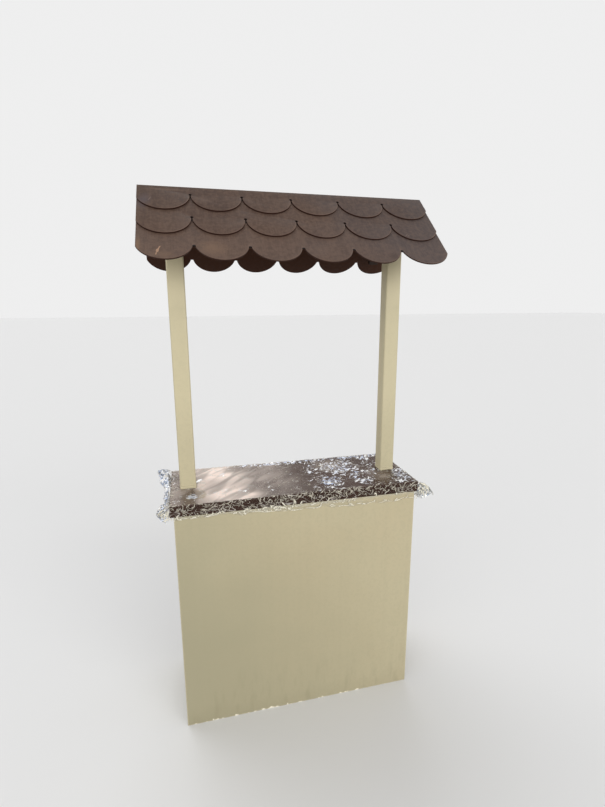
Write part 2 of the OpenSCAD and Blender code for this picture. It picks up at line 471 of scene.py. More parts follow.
# %% A helper that starts a material
def new_material(name):
    """A material with its Principled shader; gives the material, its tree and the shader's inputs."""
    made = bpy.data.materials.new(name)
    made.use_nodes = True
    tree = made.node_tree
    tree.nodes.clear()
    shader = tree.nodes.new("ShaderNodeBsdfPrincipled")
    add(tree, "OutputMaterial", Surface=Wire(shader.outputs[0]))
    return made, tree, shader.inputs


def object_place(tree):
    """Object coordinates: in this lesson they are metres from the middle of the kiosk's foot."""
    return add(tree, "TexCoord")["Object"]


def bumps(*layers):
    """Chains Bump nodes, one for each (height, distance in metres, strength)."""
    below = {}
    for height, distance, strength in layers:
        below = add(height.tree, "Bump", Height=height, Distance=distance, Strength=strength, **below)
    return below["Normal"]


def named(*materials):
    """The names of some materials, to print."""
    return [material.name for material in materials]


MIDDLING = (0.3, 0.7)
print("most noise lies between", *MIDDLING)

# %% [markdown]
# ** Cream paint** covers the panels and the posts. It was rolled on upwards and
# downwards, so its faint streaks run up the boards. The panel is painted warmest
# at the top right and greener and greyer towards the foot and the left: that is
# painted shade. Its foot is also splashed and wiped with dirt. Along its edges
# the paint is pale, partly rubbed and partly a painted highlight, and the board's
# foot, where it is knocked, has lost small chips of paint. The posts are painted
# lighter towards their tops, as painted light under the eave, and the corners of
# posts and frame carry painted shade.

# %% Material: cream paint
CREAM = srgb(196, 183, 150)
CREAM_PALE = srgb(200, 190, 158)
CREAM_GREY = srgb(169, 162, 134)
POST_CREAM = srgb(203, 193, 159)
POST_SHELTERED = srgb(222, 211, 176)
DIRT = srgb(128, 121, 95)
BARE_BOARD = srgb(226, 215, 186)
BARE_CHIP = srgb(250, 243, 222)
PANEL_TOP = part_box("front_panel")[1][2]
PANEL_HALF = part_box("front_panel")[1][0]
HALF_SHELTER = (1.15, 1.40)
FULL_SHELTER = (1.66, 1.82)
GREYEST_FALL = 0.6
GREY_AT_LEFT = 0.42
SPLASH_TOP = (0.03, 0.30)
CHIP_HEIGHT = 0.010


def cream_material(name, paint, streaks, greying, foot_dirt, wear, corners, sheltered=None):
    """Cream paint under streaks, painted shade, dirt, specks and pale edges that are partly a painted
    highlight; painted lighter at the top where a lit top colour is given.
    """
    made, tree, shader = new_material(name)
    place = object_place(tree)
    x, _, z = split(place)
    base = patchy_paint(vector=place, patch_size=0.55, contrast=0.7, paint=paint, other_paint=CREAM_PALE)
    marks = brush_marks(vector=place, spacing=0.0045, length=0.30)
    # Painted shade: the cream turns greener and greyer towards the foot and the left.
    fallen = maths("MINIMUM", (PANEL_TOP - z) / PANEL_TOP, GREYEST_FALL)
    leftward = x * (-GREY_AT_LEFT / PANEL_HALF)
    cloud = noise(place, 3.2, 3.0) * 0.5 - 0.25
    grey = fallen + (fallen * leftward * 0.6 + leftward) + cloud
    mottle = noise(place, 85.0, 3.0, 0.6)
    wiped = noise(place * (38.0, 38.0, 9.0), 1.0)
    layers = [
        (marks["Streaks"] * streaks, CREAM_GREY),
        (rise(grey, -0.35, 1.25) * greying, CREAM_GREY),
        (rise(mottle, 0.45, 0.65, 0.0, 0.14), CREAM_GREY),
        (rise(wiped, 0.46, 0.70, 0.0, 0.15) * fall(z, *SPLASH_TOP), DIRT)]
    # Painted light: the posts are painted lighter towards their tops, under the eave.
    if sheltered:
        layers.append((most(rise(z, *HALF_SHELTER, 0.0, 0.4), rise(z, *FULL_SHELTER)), sheltered))
    layers += [
        (splashed_dirt(vector=place, height=0.10, grain=11.0)["Mask"] * foot_dirt, DIRT),
        (specks(vector=place, spacing=0.07, size=0.0014, share=0.3)["Mask"] * 0.4, DIRT)]
    # Painted shade in corners, where ambient occlusion finds little open air.
    if corners:
        layers.append((crevices(tree, distance=0.015, strength=corners)["Mask"], DIRT))
    layers += [
        # Pale edges: partly rubbed paint, partly a painted highlight.
        (worn_edges(vector=place, width=0.008, amount=wear, grain=45.0)["Mask"] * 0.75, BARE_BOARD),
        (z < rise(noise(place, 34.0, 3.0), 0.56, 0.68, 0.0, CHIP_HEIGHT), BARE_CHIP)]
    feed(shader, Base_Color=coats(base["Colour"], layers), Specular_IOR_Level=0.35,
         Roughness=rise(marks["Height"], *MIDDLING, 0.46, 0.6),
         Normal=bumps((marks["Height"], 0.0003, 0.45), (noise(place, 700.0, 3.0), 0.0002, 0.25)))
    return made


cream_panel_paint = cream_material("Cream panel paint", CREAM, streaks=0.07, greying=0.95, foot_dirt=0.12,
                                   wear=0.75, corners=0.0)
cream_post_paint = cream_material("Cream post paint", POST_CREAM, streaks=0.08, greying=0.0, foot_dirt=0.0,
                                  wear=0.75, corners=0.30, sheltered=POST_SHELTERED)
cream_frame_paint = cream_material("Cream frame paint", CREAM, streaks=0.25, greying=0.4, foot_dirt=0.4,
                                   wear=0.6, corners=0.45)
print("materials:", named(cream_panel_paint, cream_post_paint, cream_frame_paint))

# %% [markdown]
# ** Roof paint** is a thin brown coat, warm at the left and purplish at the right.
# It is painted darker towards the ridge, most at the left, and its board edges
# and undersides are painted dark: all of that is painted shade. It was brushed up
# and down the slope, so its patterns need the slope's own directions. Both slopes
# share one sum: with the depth Y made negative, as it is in front of the ridge, a
# turn by the roof's angle gives X along the kiosk, Y up the slope and Z out of the
# boards. The rear slope is shifted sideways by a whole number of scallops first,
# so that the two do not carry the same pattern.

# %% Where a point lies on the roof
ROOF_ANGLE = math.radians(42.0)
COURSE_THICK = 0.006
COURSES = 3
EAVE_LEVEL = 1
SCALLOPS = 6
END_TRIM = 0.002
SAW_GAP = 0.003
HOLE_WIDE = 0.009
FIRST_FOOT = 0.126
COURSE_STEP = 0.130
END_SPREAD = 0.006
SCALLOP_PITCH = 2 * (cad_box[1][0] + END_TRIM) / SCALLOPS
SCALLOP_RADIUS = (SCALLOP_PITCH - SAW_GAP) / 2
TO_GAP_SIDE = SCALLOP_RADIUS - (HOLE_WIDE - SAW_GAP) / 2
EAVE_CUT = SCALLOP_RADIUS - math.sqrt(SCALLOP_RADIUS ** 2 - TO_GAP_SIDE ** 2)
PEAK = cad_box[1][2] - COURSES * COURSE_THICK / math.cos(ROOF_ANGLE)
REAR_SCALLOPS = 27
REAR_SHIFT = REAR_SCALLOPS * SCALLOP_PITCH


def slope_place(tree):
    """The place (along, up the slope, out of it) for both slopes, and how far the surface faces out."""
    x, y, z = split(object_place(tree))
    rear = y > 0.0
    place = mapped(join(x + rear * REAR_SHIFT, abs(y) * -1.0, z - PEAK), (-ROOF_ANGLE, 0.0, 0.0))
    _, normal_y, normal_z = split(surface_normal(tree))
    outwards = normal_y * (rear * 2.0 - 1.0)
    return place, normal_z * math.cos(ROOF_ANGLE) + outwards * math.sin(ROOF_ANGLE)


print("peak of the frame and width of a scallop:", *neat(PEAK, SCALLOP_PITCH))

# %% [markdown]
# ** Scallops.** Each scallop has a paler rim: partly paint worn off the sharp edge
# that the saw left, partly a painted highlight, stronger on the right side of each
# scallop and at the kiosk's right end. Each hole is painted nearly black, with a
# dark ring round it and a dark spot on the board that shows through it: painted
# shade. The eave course is cut less deep, so that its gaps are as wide as the
# holes at their ends. All of it follows the scallops exactly, so it is worked out
# from the same sizes: how far up the slope the foot of this course is, which the
# height above the rafters tells, and how far the point is from the middle of its
# scallop.

# %% Group: scallops
SEEN_THROUGH = (0.0055, 0.0085)
SEEN_SQUASH = 0.55
BURNT_RING = (0.0052, 0.0066)
RIM_STARTS = 0.020


@node_group
def scallops(vector=ORIGIN, rim=0.0035):
    """Distances from the arc's centre give the rim, and distances from the gap's end give the holes."""
    along, up_slope, outward = split(vector)
    course = maths("ROUND", outward / COURSE_THICK)
    above_foot = course * -COURSE_STEP + (FIRST_FOOT + COURSES * COURSE_STEP) + up_slope
    turns = along / SCALLOP_PITCH
    sideways = maths("FRACT", turns) - 0.5
    off_middle = sideways * SCALLOP_PITCH
    to_end = abs((turns > REAR_SCALLOPS / 2) * -REAR_SCALLOPS + turns)

    radius = (to_end > SCALLOPS / 2 - 0.5) * END_SPREAD + SCALLOP_RADIUS
    below_middle = radius - above_foot
    inner = radius - rim
    rubbed = rise(hypotenuse(off_middle, below_middle), inner, rim * 0.6 + inner)

    to_gap = SCALLOP_PITCH / 2 - abs(off_middle)
    seen_height = (above_foot - (COURSE_STEP + SCALLOP_RADIUS)) * SEEN_SQUASH
    cut_height = (course > EAVE_LEVEL + 0.5) * (SCALLOP_RADIUS - EAVE_CUT) + EAVE_CUT
    hole = most(fall(hypotenuse(to_gap, seen_height), *SEEN_THROUGH),
                fall(hypotenuse(to_gap, above_foot - cut_height), *BURNT_RING))
    return {"Rim": rubbed * rise(below_middle, 0.0, RIM_STARTS), "Sideways": sideways,
            "Hole": hole * (to_end < SCALLOPS / 2 - 0.25)}

# %% [markdown]
# **The roof's scars** are few enough to list. Each has a place, measured along
# the kiosk from its middle and down the slope from the ridge, a turn, and half
# its length and width. Its kind says how ragged and how soft it is: rubbed
# patches are nearly all fade, while scratches and chips are sharp.

# %% Roof paint: its colours and its scars
ROOF_BROWN = srgb(84, 66, 57)
ROOF_WARM = srgb(93, 73, 61)
ROOF_COOL = srgb(80, 70, 68)
ROOF_DEEP = srgb(60, 47, 42)
ROOF_EDGE = srgb(56, 34, 27)
ROOF_HOLE = srgb(20, 13, 10)
ROOF_UNDER = srgb(58, 28, 8)
ROOF_WORN = srgb(116, 96, 84)
ROOF_CHIP = srgb(158, 126, 103)
ROOF_SCRATCH = srgb(118, 100, 91)
ROOF_TAN = srgb(120, 95, 76)
ROOF_BLUISH = srgb(84, 76, 80)
RIDGE_SHADE = (0.62, 0.60, 0.60, 1.0)

MM = 0.001
SCAR_HEIGHT = 12
RUBBED, SCRATCHED, CHIPPED = (0.9, 0.95), (0.5, 0.2), (1.1, 0.2)
ROOF_SCARS = [
    # millimetres along and down, degrees turned, half length, half width, strength, colour, kind
    (-310, 325, 0, 55, 70, 0.50, ROOF_TAN, RUBBED),
    (-551, 320, 0, 70, 12, 0.80, ROOF_TAN, RUBBED),
    (-470, 365, 17.2, 30, 50, 0.35, ROOF_TAN, RUBBED),
    (-330, 60, 0, 30, 50, 0.22, ROOF_WORN, RUBBED),
    # Painted highlight: the pale band along the ridge at the left.
    (-450, 5, 90, 110, 10, 0.40, ROOF_WORN, RUBBED),
    (60, 330, 0, 40, 70, 0.22, ROOF_WORN, RUBBED),
    (-535, 80, 11.5, 60, 35, 0.60, ROOF_BLUISH, RUBBED),
    (330, 350, 0, 30, 35, 0.50, ROOF_DEEP, RUBBED),
    (-514.5, 69, 22, 13, 1.3, 1.0, ROOF_SCRATCH, SCRATCHED),
    (419, 227, 45, 15, 1.0, 1.0, ROOF_SCRATCH, SCRATCHED),
    (428, 229, 45, 10, 0.9, 1.0, ROOF_SCRATCH, SCRATCHED),
    (-490, 345, 14, 11, 5.0, 1.0, ROOF_CHIP, CHIPPED),
    (-485, 331, 24, 11, 2.0, 1.0, ROOF_CHIP, CHIPPED),
    (-494, 360, 12, 8, 2.0, 1.0, ROOF_CHIP, CHIPPED)]
print("scars on the roof:", len(ROOF_SCARS))

# %% Material: roof paint
roof_paint, tree, shader = new_material("Roof paint")
place, facing = slope_place(tree)
up_slope = split(place)[1]
along_kiosk = split(object_place(tree))[0]
base = patchy_paint(vector=place, patch_size=0.22, contrast=0.7, paint=ROOF_BROWN, other_paint=ROOF_WARM)
rightward = noise(place + (3.1, 1.7, 0.4), 5.0, 3.0) * 0.7 + (along_kiosk - 0.35)
colour = mix(rise(rightward, -0.15, 0.55, 0.0, 0.95), base["Colour"], ROOF_COOL)
# Painted shade: darker towards the ridge, most at the left.
upward = rise(up_slope, -0.37, -0.02) * rise(along_kiosk, -0.45, 0.10, 1.0, 0.60)
colour = mix(upward, colour, RIDGE_SHADE, "MULTIPLY")
mottle = noise(place, 70.0, 4.0, 0.65)
strokes = brush_marks(vector=mapped(place, (math.pi / 2, 0.0, 0.0)), spacing=0.0030, length=0.05)["Height"]
colour = coats(colour, [
    (rise(mottle, 0.40, 0.66, 0.0, 0.26), ROOF_WORN),
    (rise(mottle, 0.34, 0.50, 0.24, 0.0), ROOF_DEEP),
    (rise(strokes, 0.44, 0.62, 0.0, 0.13), ROOF_WORN),
    (rise(strokes, 0.38, 0.50, 0.15, 0.0), ROOF_DEEP)])
for along, down, turned, half_length, half_width, strength, scar_colour, (ragged, soft) in ROOF_SCARS:
    scar = one_mark(vector=place, centre=(along * MM, -down * MM, SCAR_HEIGHT * MM),
                    turn=math.radians(turned), half_length=half_length * MM, half_width=half_width * MM,
                    ragged=ragged, soft=soft)
    colour = mix(scar["Mask"] * strength, colour, scar_colour)
shape = scallops(vector=place, rim=0.0045)
rim_kept = rise(noise(place, 9.0), 0.35, 0.60, 0.35, 1.0)
# Painted highlight: the rim is paler on each scallop's right side and at the right end.
rim_side = rise(shape["Sideways"], -0.25, 0.30, 0.15, 0.50) + rise(along_kiosk, 0.50, 0.53, 0.0, 0.45)
colour = coats(colour, [
    (shape["Rim"] * rim_kept * rim_side, ROOF_WORN),
    # Painted shade: the boards' edge faces are painted dark.
    (fall(facing, 0.15, 0.55), ROOF_EDGE),
    # Painted shade: the boards' undersides are painted darker still.
    (fall(facing, -0.75, -0.35), ROOF_UNDER),
    # Painted shade: the holes and what shows through them are painted nearly black.
    (shape["Hole"] * rise(facing, -0.2, 0.1), ROOF_HOLE)])
feed(shader, Base_Color=colour, Specular_IOR_Level=0.14, Roughness=rise(mottle, *MIDDLING, 0.52, 0.64),
     Normal=bumps((strokes, 0.0004, 0.3), (noise(place, 420.0, 3.0), 0.0003, 0.3)))
print("material:", roof_paint.name, "with", len(tree.nodes), "nodes")

# %% [markdown]
# **Counter paint** is the darker brown under the film, and **bare wood** is what
# the two bearers under the counter are left as.

# %% Materials: counter paint, roof frame paint and bare wood
COUNTER_BROWN = srgb(62, 43, 35)
COUNTER_DEEP = srgb(52, 36, 29)
COUNTER_FADED = srgb(84, 64, 56)
FRAME_BROWN = srgb(52, 37, 30)
FRAME_DEEP = srgb(40, 28, 23)
PINE_PALE = srgb(206, 172, 128)
PINE_DARK = srgb(160, 116, 74)
Z_TO_X = (0.0, math.pi / 2, 0.0)
Z_TO_Y = (math.pi / 2, 0.0, 0.0)


def brown_material(name, paint, deep, faded):
    """Brushed brown paint, its strokes along the kiosk; its upper side is painted towards the top sheen
    colour, a painted reflection.
    """
    made, tree, shader = new_material(name)
    place = object_place(tree)
    strokes = brush_marks(vector=mapped(place, Z_TO_X), spacing=0.004, length=0.2)["Height"]
    base = patchy_paint(vector=place, patch_size=0.2, contrast=1.0, paint=paint, other_paint=deep)
    edge = worn_edges(vector=place, width=0.003, amount=0.5, grain=60.0)["Mask"]
    # Painted reflection: the upper side is painted paler and pinker, where light is mirrored off the top.
    upper = rise(split(surface_normal(tree))[2], 0.7, 0.95)
    bleached = upper * rise(noise(place, 6.0, 3.0), 0.35, 0.65, 0.65, 1.0)
    feed(shader, Base_Color=coats(base["Colour"], [(edge * 0.5, ROOF_WORN), (bleached, faded)]),
         Specular_IOR_Level=0.15, Roughness=rise(strokes, *MIDDLING, 0.45, 0.6),
         Normal=bumps((strokes, 0.0004, 0.5)))
    return made


counter_paint = brown_material("Counter paint", COUNTER_BROWN, COUNTER_DEEP, COUNTER_FADED)
roof_frame_paint = brown_material("Roof frame paint", FRAME_BROWN, FRAME_DEEP, FRAME_BROWN)

bare_wood, tree, shader = new_material("Bare wood")
grain = wood_grain(vector=mapped(object_place(tree), Z_TO_Y), pale=PINE_PALE, dark=PINE_DARK)
feed(shader, Base_Color=grain["Colour"], Roughness=rise(grain["Height"], 0.2, 0.9, 0.55, 0.7),
     Normal=bumps((grain["Height"], 0.0003, 0.5)))
print("materials:", named(counter_paint, roof_frame_paint, bare_wood))

# %% [markdown]
# ## Dressing the carpentry
#
# The packed boards have mathematically sharp edges. A real sawn and painted edge
# has a radius of about a millimetre, and that thin line of light is much of what
# makes it look real. Modifiers do this without touching the packed mesh: Weld
# joins its loose triangles, Decimate melts the flat ones together, and Bevel
# rounds what is left, which is only true edges.

# %% Give every board its paint and its soft edges
FINISH_OF_SLOT = {
    "cream_paint": (cream_panel_paint, 0.0012),
    "cream_frame_paint": (cream_frame_paint, 0.0012),
    "counter_paint": (counter_paint, 0.002),
    "bare_wood": (bare_wood, 0.001),
    "roof_frame_paint": (roof_frame_paint, 0.0015),
    "roof_paint": (roof_paint, 0.0013)}
POSTS = ("left_post", "right_post", "left_post_foot", "right_post_foot")
POST_FINISH = (cream_post_paint, 0.002)
JOINED = 0.00001
FLAT_WITHIN = math.radians(0.5)
SHARP_OVER = math.radians(25)


def finish_board(board, material, radius):
    """One material all over, then Weld, Decimate and Bevel, as modifiers."""
    board.data.materials.clear()
    board.data.materials.append(material)
    weld = board.modifiers.new("Join triangles", "WELD")
    weld.merge_threshold = JOINED
    flatten = board.modifiers.new("Melt flat triangles", "DECIMATE")
    flatten.decimate_type = "DISSOLVE"
    flatten.angle_limit = FLAT_WITHIN
    ease = board.modifiers.new("Ease edges", "BEVEL")
    ease.width = radius
    ease.segments = 3
    ease.limit_method = "ANGLE"
    ease.angle_limit = SHARP_OVER
    ease.harden_normals = True


for part in frame["record"]["subparts"]:
    finish = POST_FINISH if part["node"] in POSTS else FINISH_OF_SLOT[part["material_slot"]]
    finish_board(nodes[part["node"]], *finish)
print("painted boards:", len(nodes))

# %% [markdown]
# ## The film over the counter
#
# A thin clear film is wrapped over the counter: it lies on the top, turns down
# over all four edges and laps a finger's width onto the front panel. It is
# bunched at the left end and hangs free at the right one. A flat sheet draped
# over a box has too much stuff at each corner, and that surplus stands out as an
# ear.
#
# A cloth simulation would find those ears by itself, but it would also let the
# film hang loose where it is stretched and stuck. So the drape is written down
# instead: every point of the flat sheet has two distances, s along the counter
# and q across it, and a formula says where that point ends up.

# %% Film: sizes
counter_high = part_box("counter_board")[1]
HALF_LENGTH, HALF_DEPTH, COUNTER_TOP = (float(size) for size in counter_high)
EDGE_HEIGHT = COUNTER_TOP - float(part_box("front_edge_strip")[0][2])

FILM_GAP = 0.0006
FILM_BEND = 0.003
PAST_LEFT_END = 0.100
PAST_RIGHT_END = 0.066
PAST_REAR = 0.058
LAP_LEFT = 0.010
LAP_RIGHT = 0.034
LAP_WIDENS = (-0.35, 0.35)
FILM_CELL = 0.003
print("counter, and the height of its edge:", *neat(2 * HALF_LENGTH, 2 * HALF_DEPTH, EDGE_HEIGHT))

# %% [markdown]
# A crumple needs to look random and yet come out the same each time, so the
# random numbers start from a fixed seed. Smooth random waves come from a few
# sine waves of random direction and phase. Crushed film is not smooth, though:
# it is made of small flat facets with sharp creases between them. A triangle
# wave is flat on its flanks and sharp at its turns, so a few triangle waves in
# random directions, each shaken a little, give facets of all shapes.

# %% Film: random waves and crumples
def waves(s, q, length, seed, count=7):
    """Smooth waves, mostly within -1 to 1: a sum of random sines over the square root of their number."""
    rng = np.random.default_rng(seed)
    turn = rng.uniform(0, 2 * np.pi, count)
    rate = 2 * np.pi / (length * rng.uniform(0.7, 1.6, count))
    phase = rng.uniform(0, 2 * np.pi, count)
    total = np.zeros_like(s)
    for a, k, p in zip(turn, rate, phase):
        total += np.sin(k * (s * np.cos(a) + q * np.sin(a)) + p)
    return total / np.sqrt(count)


def triangle(t):
    """The triangle wave of period 1: from -1 at whole numbers up to 1 halfway between them."""
    return 4 * np.abs(t - np.floor(t + 0.5)) - 1


def crumple(s, q, size, seed, count=5):
    """Facets about as wide as size: triangle waves, random and shaken, summed as those sines are."""
    rng = np.random.default_rng(seed)
    total = np.zeros_like(s)
    for number in range(count):
        turn = rng.uniform(0, np.pi)
        period = size * rng.uniform(1.2, 3.0)
        across = (s * np.cos(turn) + q * np.sin(turn)) / period + rng.uniform(0, 1)
        total += triangle(across + 0.30 * waves(s, q, 4 * size, seed + 1 + number))
    return total / np.sqrt(count)


def smooth(value, start, end):
    """The smooth step: 0 before the start, 1 past the end, and an even S between; the end may be lower."""
    t = np.clip((value - start) / (end - start), 0, 1)
    return t * t * (3 - 2 * t)


print("waves, mean square:", *neat(np.mean(waves(*np.mgrid[0:1:50j, 0:1:50j], 0.2, seed=1) ** 2)))

# %% Film: the flat sheet's grid
def uneven(t, size, length, seed):
    """How far a hem strays at t along it, as waves of that size and length; none was cut straight."""
    return size * waves(t, 0 * t, length, seed)


def end_hems(v):
    """The sheet's left and right hems at the share v of its width."""
    return (-HALF_LENGTH - PAST_LEFT_END - uneven(v, size=0.008, length=0.35, seed=11),
            HALF_LENGTH + PAST_RIGHT_END + uneven(v, size=0.010, length=0.35, seed=12))


def long_hems(s):
    """Its front and rear hems at s: the lap on the front panel widens towards the right."""
    lap = LAP_LEFT + (LAP_RIGHT - LAP_LEFT) * smooth(s, *LAP_WIDENS)
    return (-HALF_DEPTH - EDGE_HEIGHT - (lap + uneven(s, size=0.005, length=0.09, seed=13)),
            HALF_DEPTH + PAST_REAR + uneven(s, size=0.006, length=0.2, seed=14))


columns = int((2 * HALF_LENGTH + PAST_LEFT_END + PAST_RIGHT_END) / FILM_CELL) + 1
rows = int((2 * HALF_DEPTH + EDGE_HEIGHT + LAP_RIGHT + PAST_REAR) / FILM_CELL) + 1
v, u = np.meshgrid(np.linspace(0, 1, rows), np.linspace(0, 1, columns), indexing="ij")
left_hem, right_hem = end_hems(v)
s = left_hem + u * (right_hem - left_hem)
front_hem, rear_hem = long_hems(s)
q = front_hem + v * (rear_hem - front_hem)
flat_size = tuple(round(float(np.mean(size)), 3) for size in (right_hem - left_hem, rear_hem - front_hem))
print("flat sheet:", *flat_size, "m,", rows, "x", columns, "points")

# %% [markdown]
# The drape itself. Along either direction the sheet runs level, turns through a
# quarter circle at the board's edge, and runs down. Where it is past the end and
# past the front at once, its distance from the corner is kept. There the surplus
# swings out sideways as an ear: most near the corner and less towards its tip,
# so that the ear droops. Its rear layer bulges away from its front one.

# %% Film: drape it over the board
EAR_SWING = math.radians(71)
EAR_DROOP = math.radians(240)
EAR_SPREAD = math.radians(38)
EAR_BULGE = 0.16


def over_edge(t, half, radius):
    """How far out and how far down a point at distance t lies: level, a quarter circle, then down."""
    before = half - radius
    turned = np.clip((np.abs(t) - before) / radius, 0, np.pi / 2)
    out = np.sign(t) * (np.minimum(np.abs(t), before) + radius * np.sin(turned))
    down = radius * (1 - np.cos(turned)) + np.maximum(0, np.abs(t) - before - radius * np.pi / 2)
    return out, down


out_x, down_x = over_edge(s, HALF_LENGTH + FILM_GAP, FILM_BEND)
out_y, down_y = over_edge(q, HALF_DEPTH + FILM_GAP, FILM_BEND)
reach = np.hypot(down_x, down_y)
bearing = np.arctan2(down_y, down_x)
ear = smooth(np.minimum(bearing, np.pi / 2 - bearing), 0.0, EAR_SPREAD)
ear *= smooth(np.minimum(down_x, down_y), 0.0, 0.008)
swing = ear * np.clip(EAR_SWING - EAR_DROOP * reach, 0, None)
x = out_x + np.sign(s) * reach * np.sin(swing)
y = out_y + EAR_BULGE * ear * reach * np.sin(4 * bearing)
z = COUNTER_TOP + FILM_GAP - reach * np.cos(swing)
print("drape: lowest and widest", *neat(z.min(), x.min(), x.max()))

# %% [markdown]
# The left end is a bunch: the film arches out over the board's end and is tucked
# back under it. Across the end it follows half an ellipse, which is wide and
# puffed up at the rear, narrow in the middle and wide again at the front corner.

# %% Film: bunch the left end
BUNCH_REAR = 0.049
BUNCH_MIDDLE = 0.018
BUNCH_FRONT = 0.036
BUNCH_DEPTH = 0.022
BUNCH_PUFF = 0.028
REARWARD = (0.00, 0.12)
FRONTWARD = (-0.12, -0.20)
past_left = np.clip((-s - HALF_LENGTH) / PAST_LEFT_END, 0, 1)
rearward = smooth(q, *REARWARD)
frontward = smooth(q, *FRONTWARD)
wide = BUNCH_MIDDLE + (BUNCH_REAR - BUNCH_MIDDLE) * rearward + (BUNCH_FRONT - BUNCH_MIDDLE) * frontward
wide *= 1 + 0.20 * waves(q, 0.3 * q, length=0.08, seed=21)
arch = np.pi * past_left
rolled = past_left > 0
x = np.where(rolled, -HALF_LENGTH - FILM_GAP - wide * np.sin(arch), x)
over = COUNTER_TOP + FILM_GAP - BUNCH_DEPTH * (1 - np.cos(arch)) + BUNCH_PUFF * rearward * np.sin(arch)
z = np.where(rolled, over - down_y * (1 - 0.85 * smooth(past_left, 0.0, 0.7)), z)
y = np.where(rolled, out_y - 0.004 * np.sin(arch) * frontward, y)
places = np.stack([x, y, z], axis=-1)
print("ends:", *neat(x.min(), x.max()))

# %% [markdown]
# Crumples go where the film has been gathered: along all four edges, at both ends
# and round the feet of the posts. The middle of the top is stretched nearly flat.
# The mesh moves along its own outward normal, which the cross product of its two
# directions gives. Over the board it is also lifted, since a crumple can only
# rise off the wood.

# %% Film: crumple it
TOP_RELIEF = 0.0007
EDGE_RELIEF = 0.0012
FREE_RELIEF = 0.0042
CLEAR_OF_BOARD = 1.6
EDGE_BAND = (-0.030, 0.0)
REAR_BAND = (0.09, 0.17)
RIGHT_BAND = (0.33, 0.44)
FRONT_HALF = (0.00, -0.10)
CRUMPLED_FEET = (("left_post_foot", 0.9, 0.075), ("right_post_foot", 0.4, 0.040))


def near_post(name, reach_out):
    """1 at a post's foot, falling to 0 at the given distance from it."""
    low, high = (np.array(corner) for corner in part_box(name))
    ds = np.maximum(np.abs(s - (low[0] + high[0]) / 2) - (high[0] - low[0]) / 2, 0)
    dq = np.maximum(np.abs(q - (low[1] + high[1]) / 2) - (high[1] - low[1]) / 2, 0)
    return 1 - smooth(np.hypot(ds, dq), 0.0, reach_out)


past_edge = np.maximum(np.abs(s) - HALF_LENGTH, np.abs(q) - HALF_DEPTH)
on_top = smooth(-past_edge, 0.0, 0.006)
free = smooth(np.abs(s), HALF_LENGTH, HALF_LENGTH + 0.015)
gathered = np.maximum.reduce([
    smooth(past_edge, *EDGE_BAND),
    0.80 * smooth(q, *REAR_BAND),
    0.85 * smooth(s, *RIGHT_BAND) * smooth(q, *FRONT_HALF),
    0.30 + 0.22 * waves(s, q, length=0.22, seed=31),
    *(share * near_post(foot, around) for foot, share, around in CRUMPLED_FEET)])
relief = TOP_RELIEF * gathered + (EDGE_RELIEF - TOP_RELIEF) * (1 - on_top)
height = relief * (CLEAR_OF_BOARD + crumple(s, q, size=0.016, seed=40))
coarse, fine = crumple(s, q, size=0.024, seed=50), crumple(s, q, size=0.010, seed=60)
height += free * FREE_RELIEF * (coarse + 0.35 * fine)

outward = np.cross(np.gradient(places, axis=1), np.gradient(places, axis=0))
outward /= np.maximum(np.linalg.norm(outward, axis=-1, keepdims=True), 1e-12)
places += outward * height[..., None]
print("crumples: highest", *neat(height.max() * 1000), "mm")

# %% [markdown]
# ** Maps** say how the film is at each point: how many curls it has rolled itself
# into, where it carries painted glints, where it carries a painted sheen of
# reflected light, and where it laps over the cream panel. They go with the mesh as
# attributes, for the material to read.

# %% Film: where it has rolled itself into curls
EDGE_CURL_CHANGES = (  # how much more or less, and between which places along the counter
    (0.14, -0.42, -0.50),
    (-0.03, 0.05, 0.30),
    (-0.22, 0.38, 0.50))
SPARSE_LAP = (0.10, 0.40)
TANGLE_AT = -0.08
TANGLE_FADES = (0.05, 0.12)

under_edge = np.abs(q) - HALF_DEPTH - EDGE_HEIGHT
between_ends = np.abs(s) < HALF_LENGTH
on_edge = smooth(np.abs(q), HALF_DEPTH - 0.003, HALF_DEPTH) * between_ends
on_lap = smooth(under_edge, -0.002, 0.002) * between_ends
near_hem = 1 - smooth(np.minimum(q - front_hem, rear_hem - q), 0.003, 0.010)

edge_curls = 0.45 + 0.38 * waves(s, q, length=0.09, seed=77)
for change, starts, full in EDGE_CURL_CHANGES:
    edge_curls += change * smooth(s, starts, full)
edge_curls -= 0.34 * smooth(under_edge, -0.020, -0.006) * smooth(s, -0.12, 0.0)

lap_curls = 0.30 * np.maximum(near_hem, 1 - smooth(under_edge, 0.003, 0.010))
lap_curls = lap_curls * (1 - 0.45 * smooth(s, *SPARSE_LAP)) + 0.05 + 0.16 * waves(s, q, length=0.12, seed=72)
in_tangle = 1 - smooth(np.abs(s - TANGLE_AT), *TANGLE_FADES)
lap_curls += 0.55 * in_tangle * (1 - smooth(under_edge, 0.008, 0.014))

rolls = np.maximum(0.02 + 0.45 * smooth(past_edge, -0.010, 0.0), 0.14 * near_post("left_post_foot", 0.06))
rolls += on_edge * (edge_curls - rolls)
rolls += on_lap * (lap_curls - rolls)
rolls = np.where(free > 0.5, 0.10 + 0.45 * (q < -0.12) * (s < 0), rolls)
print("chance of a curl, on average:", *neat(rolls.mean()))

